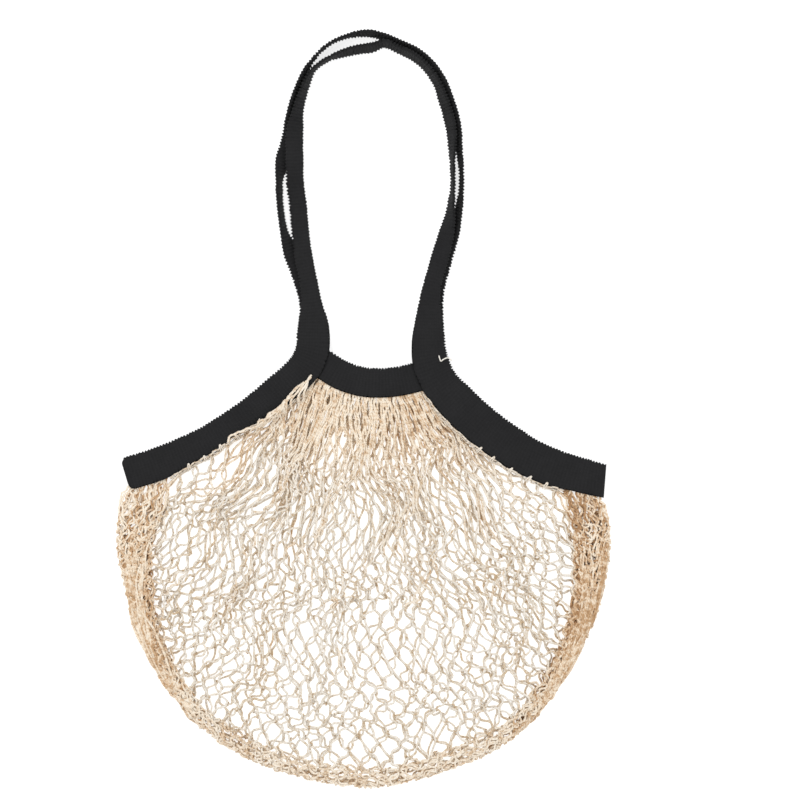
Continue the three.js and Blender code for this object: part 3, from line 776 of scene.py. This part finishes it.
# Shifts of the knots: reach, amount and seed of the ones that both sides of the net share, reach and
# amount of their own ones, and the spread of single knots: free ones, held ones, and their heights.
SHARED_DRIFT = (85, 3.0, 21)
OWN_DRIFT = (58, 4.2)
SPREADS = (0.95, 0.9, 0.25)


def net_side(front):
    """Lattice points of one side of the net, in space."""
    own = np.random.default_rng(11 if front else 12)
    points = PLAN.copy()
    free_spread, held_spread, rise_spread = SPREADS
    shared = drift(points, *SHARED_DRIFT)
    apart = drift(points, *OWN_DRIFT, 22 if front else 23)
    x, y, reach = CLEAN
    near = np.exp(-(((points[..., 0] - x) ** 2 + (points[..., 1] - y) ** 2) / reach**2))[..., None]
    apart = apart * (1 - 0.85 * near) + np.array(CLEAN_OFFSET) / 2 * (1 if front else -1)
    jitter = own.normal(0, free_spread, points.shape)
    points = points + (shared + apart + jitter) * FREE[..., None]
    below = (ALL_ROWS > FIRST + 1)[..., None]
    points = points + own.normal(0, held_spread, points.shape) * (1 - FREE[..., None]) * below
    points = pull_together(points)
    z = heights(points, front) + own.normal(0, rise_spread, points.shape[:2])
    z = np.maximum(z, RIM_FLOOR)
    return np.concatenate([points, z[..., None]], axis=-1)


# ---- net: rim and gathers

EDGE_PITCH = 6.6  # loops along the outer edge
EDGE_SAMPLES = 9  # points along a loop
EDGE_LOOPS = 135  # loops' worth of points on each edge string
LOOP_SIZES = (0.3, 1.5)  # relative, of the smallest and the largest loop
LOOP_SHIFTS = (-0.6, 0.6)  # of single loops, as shares of a turn
LOOP_SWING = 0.42  # of the loops along the edge, as a share of their pitch
# Of each edge string: inset from the outline, height in the rim, size of its loops, relative pitch.
EDGE_STRINGS = [(0.1, 0.6, 3.6, 1.15), (0.7, 0.38, 4.2, 1.0)]
GATHER_START = 0.006  # share of the outline at which the gathered strings start
GATHER_END = (0.15, 0.31)  # and at which they end
GATHER_POINTS = 190
GATHER_HELD = (2, 31, 3.0)  # they are held under the tape: first length along it, reach, and inset
UPPER_SHARE = 0.62  # of them that lie high in the rim
UPPER_LEVELS = (0.55, 1)  # from -1 at the rim's bottom to 1 at its top
LOWER_LEVELS = (-1, 0.4)
MOUTH_ROWS = (1.6, 4.6)  # down which the slack string at the mouth runs
OPEN_SHARE = (0.004, 0.996)  # of the outline, which the string in the rim never leaves


def edge_paths():
    """Strings that loop and curl along the outer edge of the net."""
    paths = []
    for strand, (inset, share, size, pitch) in enumerate(EDGE_STRINGS):
        own = np.random.default_rng(40 + strand)
        loops = int(RIM_LENGTH * 0.98 / (EDGE_PITCH * pitch))
        count = loops * EDGE_SAMPLES
        k = np.arange(count + 1)
        uneven, late = (np.interp(k, np.arange(loops + 1) * EDGE_SAMPLES, own.uniform(*limits, loops + 1))
                        for limits in (LOOP_SIZES, LOOP_SHIFTS))
        turn = 2 * np.pi * (k / EDGE_SAMPLES + late)
        swing = LOOP_SWING * EDGE_PITCH / RIM_LENGTH * np.sin(turn) * uneven
        place = np.linspace(0.007, 0.993, count + 1) + swing
        point, inward, _, height = rim_at(np.clip(place, *OPEN_SHARE))
        depth = inset + size * uneven * (1 + np.cos(turn)) / 2
        xy = point + inward * (depth + own.normal(0, 0.2, count + 1))[:, None]
        z = height * share + 1.2 * np.sin(turn + 0.8) + own.normal(0, 0.15, count + 1)
        line = np.column_stack([xy, np.maximum(z, 1.0)])
        at = np.linspace(0, count, EDGE_LOOPS * EDGE_SAMPLES + 1)
        paths.append(np.stack([np.interp(at, k, values) for values in line.T], axis=1))
    return np.array(paths)


def waves(t, own, strands, count, low, high, amount):
    """Sum of random sine waves for each of some strands."""
    total = 0
    for _ in range(count):
        number = own.uniform(low, high, (strands, 1))
        total = total + amount * np.sin(2 * np.pi * (t * number + own.random((strands, 1))))
    return total


def gather_paths(strands, own, mirrored=False):
    """Slack string bunched up inside the rim, down one side of the net from under the tape; lower down
    less of it is left, nearer to the outer edge."""
    t = np.linspace(0, 1, GATHER_POINTS)[None, :]
    share = mix(GATHER_START, own.uniform(*GATHER_END, (strands, 1)), t)
    start = (np.arange(strands)[:, None] + own.uniform(0.1, 0.9, (strands, 1))) / strands
    point, inward, width, height = rim_at(np.clip(1 - share if mirrored else share, *OPEN_SHARE))
    wavy = waves(t, own, strands, 3, 3, 9, 0.05) + waves(t, own, strands, 2, 18, 30, 1.1) / width
    depth = np.clip(start ** (1 + 0.9 * smooth(t * 1.3)) + wavy, 0, 1.03)
    xy = point + inward * (RIM_INSET + (width - RIM_INSET - 1) * depth)[..., None]
    first, reach, inset = GATHER_HELD
    where = first + reach * start[:, 0]
    held = FRONT.edge(FRONT.share(FRONT.length[-1] - where if mirrored else where), inset)
    down = smooth(t / 0.16)[..., None]
    xy = xy + (held[:, None] - xy[:, :1]) * (1 - down)
    kind = own.random((strands, 1))
    high, low = (own.uniform(*levels, (strands, 1)) for levels in (UPPER_LEVELS, LOWER_LEVELS))
    level = np.where(kind < UPPER_SHARE, high, low)
    level = np.clip(level + waves(t, own, strands, 3, 12, 30, 0.3), -1, 1)
    dome = np.sqrt(np.clip(1 - (2 * depth - 1) ** 2 * 0.9, 0.1, 1))
    z = height / 2 + level * dome * (height / 2 - 1.0)
    z = mix(3.6 + 0.9 * level, z, smooth(t / 0.12))
    return np.concatenate([xy, np.maximum(z, 0.9)[..., None]], axis=-1)


def lattice_at(knots, column, row):
    """Point of a side of the net at any columns and rows between its knots."""
    c = np.clip(column, 0, COLUMNS - 1e-6)
    r = np.clip(row, 0, ROWS - 1e-6)
    i, j = c.astype(int), r.astype(int)
    u, v = (c - i)[..., None], (r - j)[..., None]
    return mix(mix(knots[i, j], knots[i + 1, j], u), mix(knots[i, j + 1], knots[i + 1, j + 1], u), v)


def mouth_gathers(knots, own, strands):
    """Slack string that hangs from the middle band between the strands of the net."""
    t = np.linspace(0, 1, 30)[None, :]
    first, last = SIDE + STRAP_COLUMNS + 0.5, COLUMNS - SIDE - STRAP_COLUMNS - 0.5
    column = mix(first, last, (np.arange(strands)[:, None] + own.random((strands, 1))) / strands)
    column = column + waves(t, own, strands, 2, 0.5, 1.6, 0.35) + waves(t, own, strands, 1, 2, 5, 0.22)
    path = lattice_at(knots, column, t * own.uniform(*MOUTH_ROWS, (strands, 1)))
    lift = own.uniform(-0.9, 0.9, (strands, 1)) * np.sin(np.pi * t)
    lift = lift + waves(t, own, strands, 1, 2, 5, 0.25)
    path[..., 2] = np.maximum(path[..., 2] + lift, STRING + 0.1)
    return path


# ---- net: seams

# Top of the fringe, from the corner of the mouth down along the tape.
APEX = np.array([(-40.5, 26.0), (-43, 26.8), (-49, 21.4), (-55, 15.4), (-66.3, 2.2), (-75, -8.0),
                 (-86, -15.5)])
BEHIND = np.array([0.62, 0.78])  # direction in which the fringe's strings start before or behind it
NEARER = (-9, -5)  # and how far: every second one starts nearer to the net
FRINGE_ENDS = (7, -5.5)  # columns from the end of the band at which the first and the last one end
FRINGE_ROWS = (3.0, 4.5)  # at which the first ones end
FRINGE_SLANT = 2.5  # rows further down at which the last ones end
FRINGE_DROP = 9  # reach beyond the tape's edge over which they drop to the net
FRINGE_HEADINGS = (np.array([-0.5, -0.9]), np.array([-0.74, -0.67]))  # at its corner, and further on
SINK = 2.6  # how far below the tape's face the string lies beyond its edge
LOOP_FOOT = 3.6  # how far beyond the tape's edge the seam loops start


def over_tape(distance, inset, lift=0.0):
    """Points on the outer face of the front tape, by length along it and inset from its lower edge;
    beyond the edge they sink towards the net."""
    f = FRONT.frames(FRONT.share(np.clip(distance, 1, FRONT.length[-1] - 1)))
    point = (f["centre"] + f["thick"] * (f["half_thick"] + STRING * 0.85 + lift)[:, None]
             + f["wide"] * (f["half_width"] - inset)[:, None])
    point[:, 2] -= SINK * smooth(-inset / 3.0)
    return point


def seam_loops(own):
    """Short loops of the net's top edge, sewn over the lower edge of the front tape."""
    left, right = strap_holds()
    distance = np.concatenate([left[1:-2], right[3:-1]])
    count = len(distance)
    distance = distance + own.normal(0, 1.0, count)
    steps = 14
    t = np.linspace(0, 1, steps)[None, :]
    reach = own.uniform(0.9, 2.6, (count, 1))
    lean = own.normal(0.8, 0.8, (count, 1))
    gap = own.uniform(0.55, 1.0, (count, 1))
    where = distance[:, None] + gap * np.cos(np.pi * t) + lean * np.sin(np.pi * t)
    inset = -LOOP_FOOT + (reach + LOOP_FOOT) * np.sin(np.pi * t) ** 0.7
    return over_tape(where.ravel(), inset.ravel()).reshape(count, steps, 3)


def selvage(own):
    """Strings that run along under the lower edge of both side tapes and through the loops."""
    left_foot, right_foot = feet()
    t = np.linspace(0, 1, 110)
    paths = []
    for first, last in ((34, left_foot - 20), (right_foot + 2, FRONT.length[-1] - 30)):
        for lift, inset in ((-0.4, -0.5), (-1.6, -1.7)):
            where = mix(first, last, t) + np.sin(2 * np.pi * (t * 31 + own.random()))
            wave = waves(t[None], own, 1, 3, 6, 26, 0.38)[0]
            paths.append(over_tape(where, inset + wave, lift))
    return np.array(paths)


def apex_fringe(knots, own, strands):
    """Strings at the left foot of the handle that lie over the tape before they drop to the net; every
    second one starts nearer to the net."""
    u = (np.arange(strands) + own.random(strands)) / strands
    start = along(APEX, u**1.2 * 0.75 * lengths(APEX)[-1]) + own.normal(0, 0.4, (strands, 2))
    behind = np.where(np.arange(strands) % 2 == 0, 0.0, own.uniform(*NEARER, strands))
    behind = (behind + own.uniform(-1.2, 1.2, strands)) * smooth(u * 8)
    start = start + BEHIND * behind[:, None]
    column = SIDE + STRAP_COLUMNS + mix(*FRINGE_ENDS, u) + own.normal(0, 0.5, strands)
    row = own.uniform(*FRINGE_ROWS, strands) + FRINGE_SLANT * u
    end = lattice_at(knots, column, row)
    heading = unit((lattice_at(knots, column, row + 2) - end)[:, :2])
    first = unit(mix(*FRINGE_HEADINGS, smooth(u * 4)[:, None]) + own.normal(0, 0.1, (strands, 2)))
    way = end[:, :2] - start
    size = np.linalg.norm(way, axis=1, keepdims=True)
    t = np.linspace(0, 1, 26)[:, None]
    ends = start, end[:, :2], first * size * 1.5, heading * size * 0.9
    xy = hermite(*(values[:, None] for values in ends), t)
    xy = xy + unit(left_of(way))[:, None] * waves(t.T, own, strands, 2, 1, 5, 0.6)[..., None]
    near = np.linspace(0, 0.5, 1200)
    off_edge, _ = past(xy, FRONT.edge(near), FRONT.plan(near)[1])
    top = FRONT_TAPE_Z + TAPE_THICKNESS + STRING * 0.8
    z = mix(top, end[:, None, 2], smooth((off_edge + 0.5) / FRINGE_DROP))
    z = z + own.uniform(0, 1.0, (strands, 1)) * (1 - smooth(off_edge / FRINGE_DROP))
    return np.concatenate([xy, z[..., None]], axis=-1)


# ---- materials

# Colours of the string from its palest to its deepest, where it runs alone and where it is packed in a
# bundle, and the shades at which they are reached. The bundle colours are painted shade: warmer, deeper
# tans for string that lies packed in the shadow of other string. Knots and bundles reach the deeper stops
# through a raised tone, which is painted shade; the spread among the rest is the string's own random tone.
STOPS = (0.385, 0.495, 0.625, 0.8)
OPEN_COLOURS = ((238, 232, 223), (229, 220, 206), (207, 184, 152), (190, 160, 122))
BUNDLE_SHADE_COLOURS = ((248, 236, 218), (239, 220, 195), (202, 166, 127), (172, 132, 93))
CHARCOAL = (35, 35, 36)
THREAD_COLOURS = ((222, 216, 204), (248, 245, 238))
FLOOR_GLOW = 0.7
KNIT_COLUMNS = 44  # round the tape


def linear(rgb):
    """Scene colour of an sRGB colour given in 0 to 255."""
    return tuple(c / 12.92 if c <= 0.04045 else ((c + 0.055) / 1.055) ** 2.4 for c in np.array(rgb) / 255)


class Look:
    """A material: its principled shader, and short names for the nodes that it is made from."""

    def __init__(self, name, roughness, sheen=0.0, sheen_tint=(1, 1, 1)):
        self.material = bpy.data.materials.new(name)
        self.material.use_nodes = True
        self.tree = self.material.node_tree
        self.shader = self.tree.nodes["Principled BSDF"].inputs
        for key, value in (("Roughness", roughness), ("Specular IOR Level", 0.15), ("Sheen Weight", sheen),
                           ("Sheen Roughness", 0.5), ("Sheen Tint", (*sheen_tint, 1))):
            self.shader[key].default_value = value
        self.coords = self.new("ShaderNodeTexCoord").outputs

    def new(self, kind, inputs=(), **settings):
        """A node with its settings, and with inputs that are constants or come from other nodes."""
        node = self.tree.nodes.new(kind)
        for key, value in settings.items():
            setattr(node, key, value)
        for key, value in dict(inputs).items():
            if isinstance(value, bpy.types.NodeSocket):
                self.tree.links.new(value, node.inputs[key])
            else:
                node.inputs[key].default_value = value
        return node

    def math(self, operation, *values):
        return self.new("ShaderNodeMath", enumerate(values), operation=operation).outputs[0]

    def wave(self, operation, value, turns):
        """Sine or cosine of a value, with so many turns for each 1 of it."""
        return self.math(operation, self.math("MULTIPLY", value, 2 * math.pi * turns))

    def total(self, *terms):
        """Sum of value and factor pairs."""
        result = self.math("MULTIPLY", *terms[0])
        for value, factor in terms[1:]:
            result = self.math("MULTIPLY_ADD", value, factor, result)
        return result

    def uv(self):
        """The turn round a tube or tape, and the length along it."""
        split = self.new("ShaderNodeSeparateXYZ", {0: self.coords["UV"]})
        return split.outputs["X"], split.outputs["Y"]

    def noise(self, scale, detail, roughness):
        inputs = {"Vector": self.coords["Object"], "Scale": scale, "Detail": detail, "Roughness": roughness}
        return self.new("ShaderNodeTexNoise", inputs).outputs["Fac"]

    def attribute(self, name):
        return self.new("ShaderNodeAttribute", attribute_name=name).outputs["Fac"]

    def ramp(self, factor, *stops):
        node = self.new("ShaderNodeValToRGB", {"Fac": factor})
        elements = node.color_ramp.elements
        while len(elements) < len(stops):
            elements.new(0.5)
        for element, (place, colour) in zip(elements, stops):
            element.position = place
            element.color = (*colour, 1)
        return node.outputs["Color"]

    def blend(self, a, b, share):
        return self.new("ShaderNodeMix", {0: share, 6: a, 7: b}, data_type="RGBA").outputs[2]

    def finish(self, colour, relief=None, depth=0.0, strength=1.0):
        """Links the colour and a relief of some millimetres to the shader."""
        self.tree.links.new(colour, self.shader["Base Color"])
        if relief is not None:
            bump = self.new("ShaderNodeBump",
                            {"Strength": strength, "Distance": depth * MM, "Height": relief})
            self.tree.links.new(bump.outputs["Normal"], self.shader["Normal"])
        return self.material


def cotton_string():
    """Two-ply ecru cotton: a twist round the string, fibres, patches of a deeper tan, and painted shade on
    the knots, in bundles and in the grooves of the twist.
    """
    look = Look("ecru_cotton_string", 0.85, 0.2, (1.0, 0.96, 0.9))
    turn, length = look.uv()
    phase = look.math("SUBTRACT", turn, look.math("MULTIPLY", length, UV_LENGTH / PLY_PITCH))
    twist = look.wave("SINE", phase, 2)
    fibre, fleck, patch = (look.noise(*kind) for kind in ((2600, 3.0, 0.6), (260, 2.0, 0.6), (40, 3.0, 0.6)))
    # The noises are the cotton's own tone; the twist term pales the ply crests and deepens the grooves
    # between them: painted shade.
    shade = look.total((patch, 0.175), (fleck, 0.55), (fibre, 0.1), (look.attribute("tint"), 0.14),
                       (twist, -0.03))
    alone, packed = (look.ramp(shade, *zip(STOPS, map(linear, colours)))
                     for colours in (OPEN_COLOURS, BUNDLE_SHADE_COLOURS))
    # Knots and bundles reach the deep stops, and packed string blends to the bundle colours: painted shade.
    colour = look.blend(alone, packed, look.attribute("bundled"))
    return look.finish(colour, look.total((twist, 0.5), (fibre, 0.5)), 0.25, 0.8)


def knitted_tape():
    """Charcoal cotton tape: cross ribs, fine knit columns between them, and a little lint; the ribs and
    columns also lighten its colour on their crests and darken it in their troughs as painted shade.
    """
    look = Look("charcoal_knitted_tape", 0.95, 0.03)
    turn, length = look.uv()
    rib = look.wave("COSINE", length, UV_LENGTH / RIB_PITCH)
    column = look.wave("SINE", turn, KNIT_COLUMNS)
    fibre, fleck, patch = (look.noise(*kind) for kind in ((2200, 3.0, 0.65), (420, 2.0, 0.6), (45, 3.0, 0.6)))
    # The noises are the tape's own tone; the rib and column terms are painted shade in the knit's troughs.
    shade = look.total((patch, 0.4), (fleck, 0.3), (fibre, 0.3), (rib, 0.05), (column, 0.03))
    dark, light = (tuple(c * k for c in linear(CHARCOAL)) for k in (0.75, 1.2))
    relief = look.total((rib, 0.3), (column, 0.25), (fibre, 0.6))
    return look.finish(look.ramp(shade, (0.3, dark), (0.7, light)), relief, 0.2, 0.6)


def sewing_thread():
    """Off-white sewing thread with fine fibres."""
    look = Look("off_white_thread", 0.7, 0.2)
    fibre = look.noise(4000, 2.0, 0.6)
    return look.finish(look.ramp(fibre, *zip((0.3, 0.7), map(linear, THREAD_COLOURS))), fibre, 0.08, 0.6)


def pale_floor():
    """Backlit white studio floor."""
    look = Look("pale_floor", 0.9)
    look.shader["Emission Color"].default_value = (1, 1, 1, 1)
    look.shader["Emission Strength"].default_value = FLOOR_GLOW
    return look.finish(look.ramp(look.noise(6, 2.0, 0.5), (0.3, (0.6, 0.6, 0.6)), (0.7, (0.62, 0.62, 0.62))))


STRING_COTTON = cotton_string()
TAPE_COTTON = knitted_tape()
THREAD = sewing_thread()


# ---- pieces

KNOT_STRING = 0.52  # radius of the string that wraps a knot
SEAM_STRING = 0.6  # and of the string at the seams
# The loose end of white sewing thread at the foot of the right handle: x, y and height over the tape.
THREAD_LINE = [(61, 43, 0.2), (62.8, 38.5, 0.5), (64.5, 39.8, 1.2), (68.5, 41.2, 0.9), (71.5, 39, 0.4)]
THREAD_RADIUS = 0.48
THREAD_SIDES = 8


def finish_piece(obj, slot, *nodes):
    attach(obj, BODY)
    if nodes:
        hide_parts(*nodes)


def string_piece(name, groups, *nodes):
    finish_piece(string_object(name, groups, STRING_COTTON), "net_cotton", *nodes)


def thread_piece():
    level = FRONT_TAPE_Z + TAPE_THICKNESS + GAP + THREAD_RADIUS
    line = catmull([(x, y, level + z) for x, y, z in THREAD_LINE], np.linspace(0, 1, 40))
    obj = string_object("thread_end_twist", [(line[None], THREAD_RADIUS, 0, 0)], THREAD, THREAD_SIDES)
    finish_piece(obj, "thread", "thread_end")


for name, tape, node in (("front_tape_knit", FRONT, "front_tape"),
                         ("back_tape_knit", BACK, "back_tape"),
                         ("front_band_knit", band_tape(FRONT_BAND_Z), "front_mouth_band"),
                         ("back_band_knit", band_tape(BACK_BAND_Z), "back_mouth_band")):
    finish_piece(tape_object(name, tape, TAPE_COTTON), "tape_cotton", node)

NET = {"front": net_side(True), "back": net_side(False)}
for seed, (side, knots) in enumerate(NET.items(), 51):
    own = np.random.default_rng(seed)
    strands = strand_paths(knots, own)
    bundled, at_side = bundled_share(knots)
    # Each strand's own random tone, with painted shade added down the gathered sides and where it is packed.
    tint = tones_and_shades(strands, 0, 1) + at_side * side_shade(strands)
    string_piece(f"{side}_net_strings", [(strands, STRING, tint, bundled)], "net")
    wraps = knot_paths(knots, own)
    # The knots get a deep tone: painted shade of the string wrapped round itself.
    string_piece(f"{side}_net_knots", [(wraps, KNOT_STRING, tones_and_shades(wraps, 1.0, 1.7), 0.2)])

own = np.random.default_rng(61)
# Of each further piece of string: name, and for each of its groups the paths, radius, limits of the
# tone, whose higher values are painted shade, and share of the painted bundle shade.
MORE_STRING = {
    "edge_strings": [(edge_paths(), STRING, (0.3, 1.6), 0.75)],
    "side_gathers": [(gather_paths(29, own), STRING, (-0.7, 2.5), 1),
                     (gather_paths(29, own, mirrored=True), STRING, (-0.8, 2.6), 1)],
    "mouth_gathers": [(mouth_gathers(NET["front"], own, 30), STRING, (0, 1.2), 1),
                      (mouth_gathers(NET["back"], own, 24), STRING, (0.4, 1.4), 1)],
    "seam_strings": [(seam_loops(own), SEAM_STRING, (-0.6, 0.2), 0.5),
                     (selvage(own), SEAM_STRING, (0, 0.8), 0.5),
                     (apex_fringe(NET["front"], own, 17), STRING, (-0.2, 0.8), 0.8)],
}
for name, groups in MORE_STRING.items():
    tinted = []
    for paths, radius, limits, dense in groups:
        side_shading = side_shade(paths) if name == "side_gathers" else 0
        tinted.append((paths, radius, tones_and_shades(paths, *limits) + side_shading, dense))
    string_piece(name, tinted)
thread_piece()


# ---- stage, light and camera

PIXEL = 0.811 * MM  # size of a photo pixel on the bag
PHOTO_SIZE = 800
VIEW_CENTRE = ((400 - 363.5) * PIXEL, (408.7 - 400) * PIXEL)  # what the middle of the photo shows
CAMERA_HEIGHT = 4.0
BAG_MIDDLE = 8 * MM  # height of the bag that is seen at the photo's scale
SENSOR = 36.0
FLOOR_HALF = 3.0
STUDIO_LIGHT = 0.82


def floor():
    corners = [(x * FLOOR_HALF, y * FLOOR_HALF, 0) for x, y in ((-1, -1), (1, -1), (1, 1), (-1, 1))]
    me = bpy.data.meshes.new("floor")
    me.from_pydata(corners, [], [(0, 1, 2, 3)])
    me.materials.append(pale_floor())
    obj = add_object("floor", me, (0, 0, -0.5 * MM))


def area_light(name, place, size, power):
    """A soft round light that points at the bag."""
    data = bpy.data.lights.new(name, "AREA")
    data.shape = "DISK"
    data.size = size
    data.energy = power
    obj = add_object(name, data, place)
    obj.rotation_euler = (-obj.location).to_track_quat("-Z", "Y").to_euler()


def camera():
    """Looks straight down, at the photo's scale."""
    data = bpy.data.cameras.new("camera")
    data.sensor_width = SENSOR
    data.lens = SENSOR * (CAMERA_HEIGHT - BAG_MIDDLE) / (PHOTO_SIZE * PIXEL)
    data.clip_end = 20
    bpy.context.scene.camera = add_object("camera", data, (*VIEW_CENTRE, CAMERA_HEIGHT))


def surroundings():
    scene = bpy.context.scene
    scene.world = bpy.data.worlds.new("studio")
    scene.world.use_nodes = True
    background = scene.world.node_tree.nodes["Background"]
    background.inputs["Color"].default_value = (1, 1, 1, 1)
    background.inputs["Strength"].default_value = STUDIO_LIGHT
    scene.view_settings.view_transform = "Standard"


floor()
area_light("key", (-0.9, 1.1, 2.2), 1.6, 21)
area_light("fill", (1.3, -0.6, 2.0), 2.0, 8)
camera()
surroundings()
